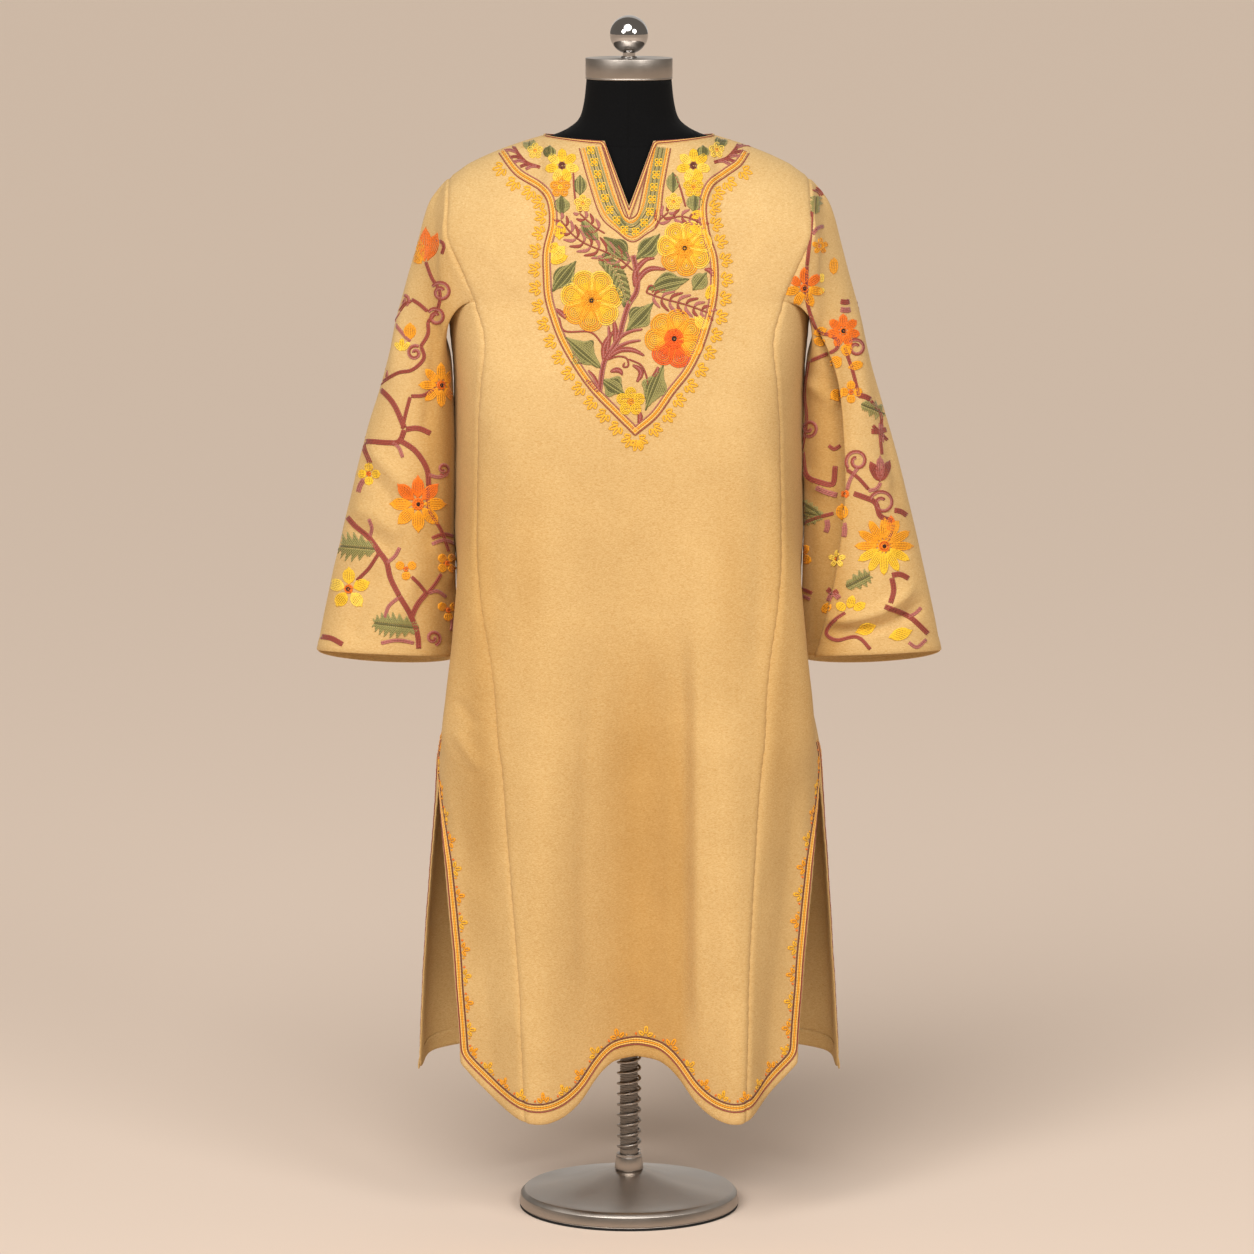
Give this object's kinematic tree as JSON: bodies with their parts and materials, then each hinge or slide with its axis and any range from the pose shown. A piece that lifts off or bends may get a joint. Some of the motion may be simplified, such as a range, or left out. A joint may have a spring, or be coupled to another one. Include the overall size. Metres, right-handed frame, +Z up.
{
  "type": "pheran on a dress form",
  "caption": "Knee-length pheran with a slit neck, wide sleeves, side slits and floral chain-stitch embroidery, worn by a black limbless dress form on a round steel stand.",
  "frame": {"origin": "centre of the underside of the round base, on the floor", "axes": "+Z up along the stand's pole, the garment's front towards -Y, its left sleeve as seen from the front towards -X"},
  "size_m": [0.752, 0.2974, 1.441],
  "materials": {
    "wool_cloth": "soft golden-tan woollen weave with a light nap",
    "neck_binding": "golden-tan binding with rows of chain stitch",
    "embroidery": "chain stitch in yellow, orange, brick and olive yarn",
    "form_jersey": "matt black jersey",
    "brushed_steel": "brushed",
    "polished_steel": "polished"
  },
  "bodies": {
    "root": {"front_panel": "wool_cloth", "back_panel": "wool_cloth", "front_gore_left": "wool_cloth", "front_gore_right": "wool_cloth", "back_gore_left": "wool_cloth", "back_gore_right": "wool_cloth", "sleeve_left": "wool_cloth", "sleeve_right": "wool_cloth", "neck_binding_front": "neck_binding", "neck_binding_back": "neck_binding", "form_torso": "form_jersey", "form_neck_cap": "brushed_steel", "form_flange": "brushed_steel", "form_ball": "polished_steel", "stand_pole": "brushed_steel", "stand_stop": "brushed_steel", "stand_spring": "brushed_steel", "stand_collar": "brushed_steel", "stand_base": "brushed_steel"}
  },
  "joints": []
}
